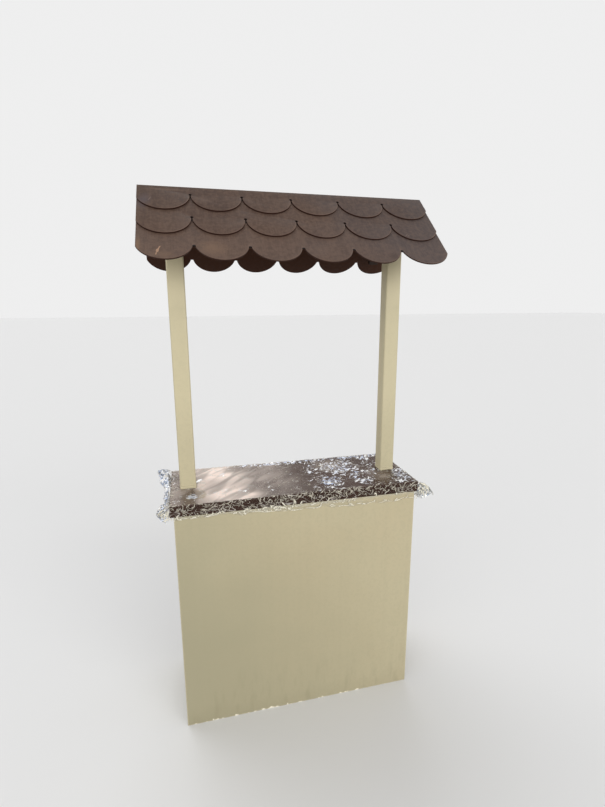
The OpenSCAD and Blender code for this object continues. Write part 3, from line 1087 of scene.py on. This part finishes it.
# %% Film: where it shines
SHINING_BANDS = [  # how much, and the steps along s and along q
    (0.34, (0.39, 0.47), (0.06, -0.04)),
    (0.42, (-0.45, -0.10), (0.12, 0.18)),
    (0.22, (-0.46, -0.51), (-0.10, 0.05))]
SHINING_SPOTS = [  # how much, the middle (s, q), and the half sizes
    (0.55, 0.145, -0.100, 0.090, 0.130),
    (0.45, 0.300, -0.130, 0.080, 0.090),
    (0.48, 0.230, 0.040, 0.180, 0.160),
    (0.75, -0.428, -0.115, 0.040, 0.045)]
LEFT_BUNCH_SHINE, RIGHT_FLAP_SHINE = 0.50, 0.14


def band(strength, step_s, step_q):
    """The strength past both of two smooth steps, one along s and one along q."""
    return strength * smooth(s, *step_s) * smooth(q, *step_q)


def spot(strength, middle_s, middle_q, half_s, half_q):
    """The strength in the middle of an ellipse, falling smoothly to 0 at its rim."""
    return strength * (1 - smooth(np.hypot((s - middle_s) / half_s, (q - middle_q) / half_q), 0.0, 1.0))


shine = np.maximum.reduce([
    0.05 + 0.17 * smooth(s, 0.02, 0.14) + 0.13 * waves(s, q, length=0.12, seed=73),
    *(band(*values) for values in SHINING_BANDS),
    *(spot(*values) for values in SHINING_SPOTS)])
shine = shine * on_top + np.where(s > 0, RIGHT_FLAP_SHINE, LEFT_BUNCH_SHINE) * free * (1 - on_top)
print("mean shine:", *neat(shine.mean()))

# %% Film: where it has a painted sheen, warm and milky
HAZY_SPOTS = [
    (0.85, -0.200, -0.150, 0.160, 0.070),
    (0.45, 0.200, 0.090, 0.130, 0.110),
    (0.52, 0.385, -0.085, 0.070, 0.110)]
TAN_SPOT = (1.0, -0.400, -0.105, 0.036, 0.060)

# Painted sheen: patches of reflected light, pink at the left, tan at the right and by the left post.
haze = np.maximum.reduce([
    0.92 * smooth(s, 0.14, -0.38) * smooth(s, -0.445, -0.395),
    0.34 * smooth(s, -0.34, -0.42),
    *(spot(*values) for values in HAZY_SPOTS)])
haze = np.clip(haze * (1 + 0.25 * waves(s, q, length=0.16, seed=74)), 0, 1)
haze = np.maximum(haze, 0.80 * spot(*TAN_SPOT)) * on_top
warm = np.maximum(smooth(s, -0.1, 0.1), smooth(spot(*TAN_SPOT), 0.0, 0.3))

in_middle = smooth(s, -0.34, -0.18) * smooth(s, 0.34, 0.14)
milky_lap = on_lap * (1 - 0.7 * smooth(under_edge, 0.002, 0.014))
milky_lap *= np.maximum(0.35 + 0.65 * in_middle, 0.9 * (1 - smooth(under_edge, 0.003, 0.006)))
print("mean haze:", *neat(haze.mean()), "and of the lap:", *neat(milky_lap.mean()))

# %% [markdown]
# The posts come up through the film, so it is cut out round their feet. Points
# that fall inside a foot are moved to its nearest side, which makes a clean cut,
# and the faces that lie wholly inside are left out.

# %% Film: cut it round the posts
def cut_round(name):
    """Moves the points inside a post's foot out to its nearest side, and tells which they are."""
    low, high = (np.array(corner)[:2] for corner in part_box(name))
    centre, half = (low + high) / 2, (high - low) / 2 + FILM_GAP
    off = places[..., :2] - centre
    within = (np.abs(s - centre[0]) < half[0]) & (np.abs(q - centre[1]) < half[1])
    nearest = np.argmin(half - np.abs(off), axis=-1)
    for axis in (0, 1):
        mine = within & (nearest == axis)
        places[mine, axis] = (centre + np.where(off >= 0, half, -half))[mine, axis]
    return within


inside = cut_round("left_post_foot") | cut_round("right_post_foot")
corners_inside = inside[:-1, :-1] & inside[:-1, 1:] & inside[1:, 1:] & inside[1:, :-1]
print("faces cut out:", int(corners_inside.sum()))

# %% Film: make the mesh
def grid_mesh(name, places, flat, keep, attributes):
    """A mesh of quads over a grid of points, with a UV map in metres and named values at the points."""
    number = np.arange(places[..., 0].size).reshape(places.shape[:2])
    quads = np.stack([number[:-1, :-1], number[:-1, 1:], number[1:, 1:], number[1:, :-1]], axis=-1)
    used, quads = np.unique(quads[keep], return_inverse=True)
    quads = quads.reshape(-1, 4)
    mesh = bpy.data.meshes.new(name)
    mesh.vertices.add(len(used))
    mesh.vertices.foreach_set("co", places.reshape(-1, 3)[used].ravel())
    mesh.loops.add(quads.size)
    mesh.loops.foreach_set("vertex_index", quads.ravel())
    mesh.polygons.add(len(quads))
    mesh.polygons.foreach_set("loop_start", np.arange(0, quads.size, 4))
    mesh.update(calc_edges=True)
    mesh.polygons.foreach_set("use_smooth", np.ones(len(quads), bool))
    uv_map = mesh.uv_layers.new(name="Flat sheet")
    uv_map.data.foreach_set("uv", flat.reshape(-1, 2)[used][quads.ravel()].ravel())
    for label, values in attributes.items():
        layer = mesh.attributes.new(label, "FLOAT", "POINT")
        layer.data.foreach_set("value", values.ravel()[used].astype(np.float32))
    mesh.validate()
    return mesh


film_mesh = grid_mesh("counter_film", places, np.stack([s, q], axis=-1), ~corners_inside,
                      {"loose": free, "curly": rolls, "shine": shine, "haze": haze, "warm": warm,
                       "lap": milky_lap})
film = new_object("counter_film", film_mesh)
print("film:", len(film_mesh.polygons), "quads")

# %% [markdown]
# **Rolled creases.** Where the film was pulled tight over the board's edges and
# gathered round the posts, it has rolled itself into thin curls, well over a
# thousand of them, which catch the light. They could be painted on with noise,
# but noise lines swell and thin out by chance, and from near by they would lie
# flat. So each is a real little roll: a flattened tube that lies on the film.
# All of them are worked out at once. A field of slow waves says which way the
# film has creased at each point. Every curl starts somewhere and steps along
# that field, so that neighbours bend side by side.

# %% Film: a place on the draped sheet
def grid_place(s_at, q_at):
    """Where (s, q) lies on the sheet, as shares of its width and of its length."""
    front, rear = long_hems(s_at)
    row = (q_at - front) / (rear - front)
    left, right_end = end_hems(row)
    return row, (s_at - left) / (right_end - left)


def on_film(s_at, q_at, lift):
    """The draped film at (s, q): the four grid points around it, weighed by nearness, then lifted off it."""
    row, column = (np.clip(share, 0, 1) for share in grid_place(s_at, q_at))
    row, column = row * (rows - 1), column * (columns - 1)
    r = np.minimum(row.astype(int), rows - 2)
    c = np.minimum(column.astype(int), columns - 2)
    down_share, right_share = (row - r)[..., None], (column - c)[..., None]

    def between(grid):
        near = grid[r, c] * (1 - right_share) + grid[r, c + 1] * right_share
        far = grid[r + 1, c] * (1 - right_share) + grid[r + 1, c + 1] * right_share
        return near * (1 - down_share) + far * down_share

    return between(places) + lift[..., None] * between(outward)


print("the film's middle:", *neat(*on_film(np.zeros(1), np.zeros(1), np.zeros(1))[0]))

# %% Film: a curl is a tube along the creasing
CURL_POINTS = 10
CURL_SIDES = 4
CURL_FLATNESS = 0.45
CREASE_LENGTH = 0.055


def tubes(s_first, q_first, heading, bend, kink, length, half_width):
    """Tubes along equal steps, in the direction heading + bend * waves(s, q) + kink in the second half."""
    step = length / (CURL_POINTS - 1)
    path = [(s_first, q_first)]
    angles = []
    for number in range(CURL_POINTS):
        s_now, q_now = path[-1]
        turned = kink * (number >= CURL_POINTS // 2)
        angles.append(heading + turned + bend * waves(s_now, q_now, CREASE_LENGTH, seed=83))
        path.append((s_now + step * np.cos(angles[-1]), q_now + step * np.sin(angles[-1])))
    path_s, path_q = (np.stack(part, axis=1)[:, :, None] for part in zip(*path[:-1]))
    angle = np.stack(angles, axis=1)[:, :, None]
    t = np.linspace(-1, 1, CURL_POINTS)
    thick = (half_width[:, None] * np.sqrt(1.03 - t ** 4))[:, :, None]
    ring = 2 * np.pi * np.arange(CURL_SIDES) / CURL_SIDES
    sideways = thick * np.cos(ring)
    lift = thick * CURL_FLATNESS * (1 + np.sin(ring))
    return on_film(path_s - sideways * np.sin(angle), path_q + sideways * np.cos(angle), lift)


def tube_faces(count):
    """The faces of so many tubes: quads between neighbouring rings, and a cap at either end."""
    number = np.arange(count * CURL_POINTS * CURL_SIDES).reshape(count, CURL_POINTS, CURL_SIDES)
    beside = np.roll(number, -1, axis=2)
    quads = np.stack([number[:, :-1], beside[:, :-1], beside[:, 1:], number[:, 1:]], axis=-1)
    first_caps = number[:, 0, ::-1]
    last_caps = number[:, -1, :]
    return quads.reshape(-1, 4).tolist() + first_caps.tolist() + last_caps.tolist()


print("faces of one curl:", len(tube_faces(1)))

# %% [markdown]
# Curls keep their distance from each other, so they start on an even lattice,
# each shaken out of its place a little, and each is kept with the chance that
# the map of rolls gives there. Two in five turn sharply halfway, as a crease
# does. They are wider on the lap, where they have been pressed flat.

# %% Film: the curls along its creases
CURL_SPACING = 0.0066
CURL_LENGTH = (0.008, 0.031)
CURL_HALF_WIDTH = (0.00045, 0.0010)
CURL_BEND = 2.6
CURL_SEED = 81
KINK = (0.9, 2.2)
KINKED_SHARE = 0.4
LONGER_ON_LAP = 0.1
WIDER_ON_LAP = 1.9

rng = np.random.default_rng(CURL_SEED)
lattice = np.meshgrid(np.arange(s.min(), s.max(), CURL_SPACING), np.arange(q.min(), q.max(), CURL_SPACING))
s_tried, q_tried = (part.ravel() + CURL_SPACING * rng.uniform(-0.4, 0.4, part.size) for part in lattice)
row, column = grid_place(s_tried, q_tried)
on_sheet = (row > 0.003) & (row < 0.99) & (column > 0.01) & (column < 0.99)
nearest = (np.rint(np.clip(row, 0, 1) * (rows - 1)).astype(int),
           np.rint(np.clip(column, 0, 1) * (columns - 1)).astype(int))
lucky = on_sheet & (rng.uniform(0, 1, row.size) < rolls[nearest]) & ~inside[nearest]
s_first, q_first = s_tried[lucky], q_tried[lucky]
lapped = on_lap[nearest][lucky]
drawn = len(s_first)
heading = rng.choice([0.0, np.pi], drawn) + rng.normal(0, 0.35, drawn)
heading -= 0.55 * smooth(s_first, -0.05, -0.30) * (1 - lapped)
kink = rng.choice([-1.0, 1.0], drawn) * rng.uniform(*KINK, drawn) * (rng.uniform(0, 1, drawn) < KINKED_SHARE)
curls = {
    "s_first": s_first, "q_first": q_first,
    "heading": heading, "bend": np.full(drawn, CURL_BEND), "kink": kink,
    "length": rng.uniform(*CURL_LENGTH, drawn) * (1 + LONGER_ON_LAP * lapped),
    "half_width": rng.uniform(*CURL_HALF_WIDTH, drawn) * (1 + WIDER_ON_LAP * lapped)}
print("curls:", drawn)

# %% [markdown]
# The long hems have rolled themselves up too, and at the corners pleats run
# outwards like the ribs of a fan.

# %% Film: the rolls along its hems and the pleats at its corners
HEM_ROLLS = 70
HEM_SHIFT = 0.03
REAR_SHARE = 0.4
PLEATS = 26
PLEAT_FAN = (6, 84)
PLEAT_REACH = (0.006, 0.045)
ROLL_LENGTH = (0.015, 0.045)
ROLL_HALF_WIDTH = (0.0008, 0.0014)
ROLL_BEND = 0.15


def hem_at(s_at, rear):
    """The front hem at s, or the rear one where rear is true."""
    front, back = long_hems(s_at)
    return np.where(rear, back, front)


hem_rear = rng.uniform(0, 1, HEM_ROLLS) < REAR_SHARE
hem_s = rng.uniform(-HALF_LENGTH, HALF_LENGTH - HEM_SHIFT, HEM_ROLLS)
hem_q = hem_at(hem_s, hem_rear) + np.where(hem_rear, -1, 1) * rng.uniform(0.001, 0.004, HEM_ROLLS)
hem_heading = np.arctan((hem_at(hem_s + HEM_SHIFT, hem_rear) - hem_at(hem_s, hem_rear)) / HEM_SHIFT)

fan = np.radians(rng.uniform(*PLEAT_FAN, 4 * PLEATS))
far = rng.uniform(*PLEAT_REACH, 4 * PLEATS)
side_s = np.repeat([1.0, 1.0, -1.0, -1.0], PLEATS)
side_q = np.tile(np.repeat([-1.0, 1.0], PLEATS), 2)
pleat_s = side_s * (HALF_LENGTH + far * np.cos(fan))
pleat_q = side_q * (HALF_DEPTH + far * np.sin(fan))
pleat_heading = np.arctan2(side_q * np.sin(fan), side_s * np.cos(fan))

straight = HEM_ROLLS + 4 * PLEATS
rolls_and_pleats = {
    "s_first": np.concatenate([hem_s, pleat_s]), "q_first": np.concatenate([hem_q, pleat_q]),
    "heading": np.concatenate([hem_heading, pleat_heading]),
    "bend": np.full(straight, ROLL_BEND), "kink": np.zeros(straight),
    "length": rng.uniform(*ROLL_LENGTH, straight), "half_width": rng.uniform(*ROLL_HALF_WIDTH, straight)}
print("rolls and pleats:", straight)

# %% [markdown]
# Each curl fades out towards its ends, and some are fainter than others: an
# attribute of the mesh tells the material how much.

# %% Film: make the curls' mesh
curl_points = tubes(**{name: np.concatenate([curls[name], rolls_and_pleats[name]]) for name in curls})
strength = np.concatenate([rng.uniform(0.65, 1.0, drawn), np.ones(straight)])
strength[:drawn] += lapped * (1 - strength[:drawn])
fading = 1 - np.linspace(-1, 1, CURL_POINTS) ** 6
milky = strength[:, None, None] * fading[None, :, None] * np.ones(CURL_SIDES)

curl_mesh = bpy.data.meshes.new("film_curls")
curl_mesh.from_pydata(curl_points.reshape(-1, 3).tolist(), [], tube_faces(len(curl_points)))
curl_mesh.polygons.foreach_set("use_smooth", np.ones(len(curl_mesh.polygons), bool))
milky_layer = curl_mesh.attributes.new("milky", "FLOAT", "POINT")
milky_layer.data.foreach_set("value", milky.ravel().astype(np.float32))
film_curls = new_object("film_curls", curl_mesh)
curl_mesh.calc_loop_triangles()
print("triangles in the curls:", len(curl_mesh.loop_triangles))

# %% [markdown]
# ** What clear film looks like.** The film itself is nearly invisible: what shows
# is light mirrored off its two faces, and fine creases painted white, which are
# partly whitened film and partly painted highlights. The mirror part is a
# metal-like shader that is almost wholly see-through, and is seen only as strongly
# as clear plastic mirrors at that angle, which the Fresnel node gives. The finest
# creases are contour lines of noise: the places where its value passes one half
# make long curly lines, and a second noise breaks those into strokes.

# %% Group: crinkles
@node_group
def crinkles(vector=ORIGIN, spacing=0.02, width=0.04, share=0.5):
    """1 where a noise is within the width of one half, in those parts where another noise is high."""
    rate = 1.0 / spacing
    lines = noise(vector, rate, 1.5, distortion=1.2)
    limit = share * -0.45 + 0.725
    parts = noise(vector + (3.7, 1.9, 0.0), rate * 0.9)
    return {"Mask": fall(abs(lines - 0.5), 0.0, width) * rise(parts, limit - 0.05, limit + 0.05)}

# %% [markdown]
# Where the film has been crushed and pulled flat again, it is left in small
# facets between creases, and those that lean the right way mirror the light. Here
# that is painted: the flakes are painted glints. Voronoi noise splits a surface
# into just such cells with straight borders. Its place is stretched and bent a
# little first, because real facets are long and uneven. Each cell draws a lot,
# which stands for how it leans, and only those that lean far enough shine. So
# every bright flake ends at a crease, as on film.

# %% Group: facets
@node_group
def facets(vector=ORIGIN, size=0.010, stretch=1.8, share=0.2):
    """Voronoi cells in a bent place; a cell shows where its lot, plus noise, is over a limit."""
    rate = 1.0 / size
    scaled = vector * join(rate, rate / stretch, 0.0)
    bend = noise(scaled, 0.7, output="Color")
    cells = add(vector.tree, "TexVoronoi", Vector=scaled + bend * (1.1, 1.1, 0.0), Scale=1.0)
    lot = split(cells["Color"])[0]
    lean = noise(scaled, 1.6, 1.0) * 0.40 + (lot - 0.20)
    limit = share * -1.05 + 1.12
    return {"Mask": rise(lean, limit, limit + 0.06), "Lean": lot}

# %% [markdown]
# The clear film's material first works out its patterns: hairlines where it
# curls, flakes of painted glint where it shines, dark furrows of painted shade in
# the loose ends, streaks of painted sheen and a few long folds. Each is moved and
# turned on the flat sheet by its own amount, so that no two of them line up.

# %% Clear film: its patterns
clear_film, tree, shader = new_material("Clear film")
flat_place = add(tree, "UVMap", {"uv_map": "Flat sheet"})["UV"]


def carried(tree, name):
    """A value that the mesh carries at its points."""
    return add(tree, "Attribute", {"attribute_type": "GEOMETRY", "attribute_name": name})["Fac"]


def aside(location, turn):
    """The place on the flat sheet, moved and turned."""
    return mapped(flat_place, (0.0, 0.0, turn), location)


loose, curly, shining, hazed, warmth, lap = (
    carried(tree, name) for name in ("loose", "curly", "shine", "haze", "warm", "lap"))
# Hairlines and folds are painted white, partly as painted highlights along the creases.
hairlines = crinkles(vector=flat_place, spacing=0.012, width=0.045, share=curly * 0.25)["Mask"]
# Painted glints: flakes that shine where the shine map says so.
broad = facets(vector=aside(ORIGIN, 0.6), size=0.009, share=shining)
small = facets(vector=aside((4.1, 0.7, 0.0), -0.7), size=0.005, share=shining * 0.85)
flakes = most(broad["Mask"], small["Mask"] * 0.9)
# Painted shade: dark furrows in the loose ends.
furrows = crinkles(vector=aside((1.3, 5.2, 0.0), 1.1), spacing=0.020, width=0.100, share=0.75)["Mask"] * loose
streaks = noise(aside(ORIGIN, -0.85) * (5.0, 20.0, 1.0), 1.0, 1.0, distortion=0.6)
hazy = hazed * rise(streaks, 0.36, 0.62, 0.56, 1.0)
folds = crinkles(vector=aside((2.3, 3.1, 0.0), 0.45) * (1.0, 2.4, 1.0), spacing=0.11, width=0.020, share=0.80)
folds = folds["Mask"] * (1.0 - most(loose, lap))
creased = most(hairlines, folds)
print("patterns:", len(tree.nodes), "nodes so far")

# %% [markdown]
# Then come how much the film hides, its colours, and how far it is a mirror or
# chalky. It hides least where only its gloss shows, and most at its flakes. The
# pink and tan sheen is a painted reflection. In the loose bunch, the furrows are
# painted shade, and the facets are painted blue to white, as painted reflections.

# %% Clear film: how much it hides, its colours and its gloss
FILM_CREASE = srgb(232, 226, 216)
FILM_VEIL = srgb(224, 212, 202)
FILM_PALE_BLUE = srgb(226, 233, 248)
FILM_BLUE = srgb(198, 211, 238)
FILM_WHITE = srgb(250, 250, 250)
FILM_PINK = srgb(246, 226, 214)
FILM_TAN = srgb(198, 178, 150)
FILM_BUNCH = srgb(134, 156, 190)
FILM_FLAP = srgb(206, 204, 194)
FILM_LAP = srgb(226, 222, 206)
FILM_SHADE = srgb(70, 84, 98)
PLASTIC_IOR = 1.5

glint = add(tree, "Fresnel", IOR=PLASTIC_IOR)["Fac"]
cloudy = rise(noise(flat_place, 45.0), 0.35, 0.65, 0.10, 0.40)
veiled = loose * cloudy + glint * 0.22
veiled = lap * rise(cloudy, 0.10, 0.40, 0.30, 0.60) + (hazy * 0.95 + veiled)
hiding = most(veiled, folds * 0.50, furrows * 0.85, flakes * rise(loose, 0.0, 1.0, 0.86, 0.95))
hiding = maths("MAXIMUM", hiding, hairlines * 0.50, clamp=True)

blazing = most(rise(broad["Lean"], 0.70, 1.0), rise(small["Lean"], 0.80, 1.0),
               loose * rise(broad["Lean"], 0.5, 0.7))
lapped_over = rise(lap, 0.0, 0.2)
# Painted reflection and shade: the bunch is painted pale or dark blue, facet by facet.
bunched = mix(warmth, mix(broad["Lean"], FILM_BUNCH, FILM_PALE_BLUE), FILM_FLAP)
colour = coats(FILM_VEIL, [
    (loose, bunched),
    (hazy, mix(warmth, FILM_PINK, FILM_TAN)),
    (furrows, FILM_SHADE),
    (flakes, mix(blazing, FILM_BLUE, FILM_WHITE)),
    (most(creased, lapped_over), mix(lapped_over, FILM_CREASE, FILM_LAP))])
misty = rise(hazy, 0.0, 0.4) * (1.0 - flakes)
chalky = most(rise(creased, 0.0, 0.5), lapped_over, loose * broad["Mask"], misty * 0.75)
feed(shader, Base_Color=colour, Metallic=1.0 - chalky, Alpha=hiding,
     Roughness=rise(most(chalky, flakes), 0.0, 0.8, 0.16, 0.45),
     Normal=bumps((flakes, 0.0008, 0.4), (noise(flat_place, 60.0, 3.0), 0.002, 0.5)))
film_mesh.materials.append(clear_film)
print("material:", clear_film.name, "with", len(tree.nodes), "nodes")

# %% [markdown]
# The curls are the same film, but a roll of many layers is no longer clear: it is
# milky white and lets only a little of what lies behind it through. That white
# also stands in for the highlights along the creases, so it is partly a painted
# highlight.

# %% Material: rolled film, and what the film is
ROLLED_DULL = srgb(222, 213, 197)
ROLLED_BRIGHT = srgb(250, 245, 226)

rolled_film, tree, shader = new_material("Rolled film")
place = object_place(tree)
layers = noise(place, 130.0, 3.0)
milkiness = carried(tree, "milky")
thickness = rise(noise(place, 70.0), 0.30, 0.62, 0.65, 1.0)
# The curls' white is partly a painted highlight.
bright = most(rise(layers, *MIDDLING), rise(milkiness, 0.80, 1.0))
feed(shader, Base_Color=mix(bright, ROLLED_DULL, ROLLED_BRIGHT), Alpha=milkiness * most(thickness, bright),
     Roughness=rise(layers, *MIDDLING, 0.18, 0.34), Normal=bumps((layers, 0.0006, 0.5)))
curl_mesh.materials.append(rolled_film)
for piece in (film, film_curls):
    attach(piece, "root")
print("material:", rolled_film.name)

# %% [markdown]
# ## The studio
#
# A pale floor, a pale world and three broad soft suns. A sun lamp lights the
# whole floor evenly, so no bright pool gives the studio away, and a wide angle
# makes its shadows soft. The floor looks pale to the camera and in reflections,
# but bounces less light than it seems to, so that what faces down stays dark:
# the Light Path node tells a camera ray from a bounced one.

# %% Floor and world
FLOOR_SEEN = (0.80, 0.80, 0.80, 1.0)
FLOOR_BOUNCE = (0.36, 0.35, 0.33, 1.0)
FLOOR_HALF = 60.0
WHITE = (1.0, 1.0, 1.0, 1.0)
WORLD_LIGHT = 0.58
WORLD_SEEN = 0.86


def seen_ray(tree):
    """1 for rays that come from the camera, a mirror or glass, and 0 for bounced light."""
    path = add(tree, "LightPath")
    return most(*(path[f"Is {kind} Ray"] for kind in ("Camera", "Glossy", "Transmission")))


floor_mesh = bpy.data.meshes.new("Floor")
floor_corners = [(x * FLOOR_HALF, y * FLOOR_HALF, 0.0) for x, y in ((-1, -1), (1, -1), (1, 1), (-1, 1))]
floor_mesh.from_pydata(floor_corners, [], [(0, 1, 2, 3)])
new_object("Floor", floor_mesh)

floor_material, tree, shader = new_material("Floor")
feed(shader, Base_Color=mix(seen_ray(tree), FLOOR_BOUNCE, FLOOR_SEEN), Roughness=0.9, Specular_IOR_Level=0.1)
floor_mesh.materials.append(floor_material)

world = bpy.data.worlds.new("Studio")
world.use_nodes = True
bpy.context.scene.world = world
tree = world.node_tree
tree.nodes.clear()
world_strength = rise(seen_ray(tree), 0.0, 1.0, WORLD_LIGHT, WORLD_SEEN)
backdrop = add(tree, "Background", Color=WHITE, Strength=world_strength)["Background"]
add(tree, "OutputWorld", Surface=backdrop)
print("floor:", 2 * FLOOR_HALF, "m wide")

# %% Lamps
def soft_sun(name, azimuth, elevation, strength, angle):
    """A sun lamp in the direction (azimuth from the front towards +X, elevation), in degrees."""
    a, e = math.radians(azimuth), math.radians(elevation)
    towards = Vector((math.sin(a) * math.cos(e), -math.cos(a) * math.cos(e), math.sin(e)))
    data = bpy.data.lights.new(name, "SUN")
    data.energy = strength
    data.angle = math.radians(angle)
    new_object(name, data).rotation_euler = towards.to_track_quat("Z", "Y").to_euler()


soft_sun("Key", azimuth=26.0, elevation=14.0, strength=1.38, angle=44.0)
soft_sun("Fill", azimuth=-42.0, elevation=5.0, strength=1.04, angle=60.0)
soft_sun("Back", azimuth=200.0, elevation=50.0, strength=1.0, angle=60.0)
bpy.context.scene.view_settings.view_transform = "Standard"
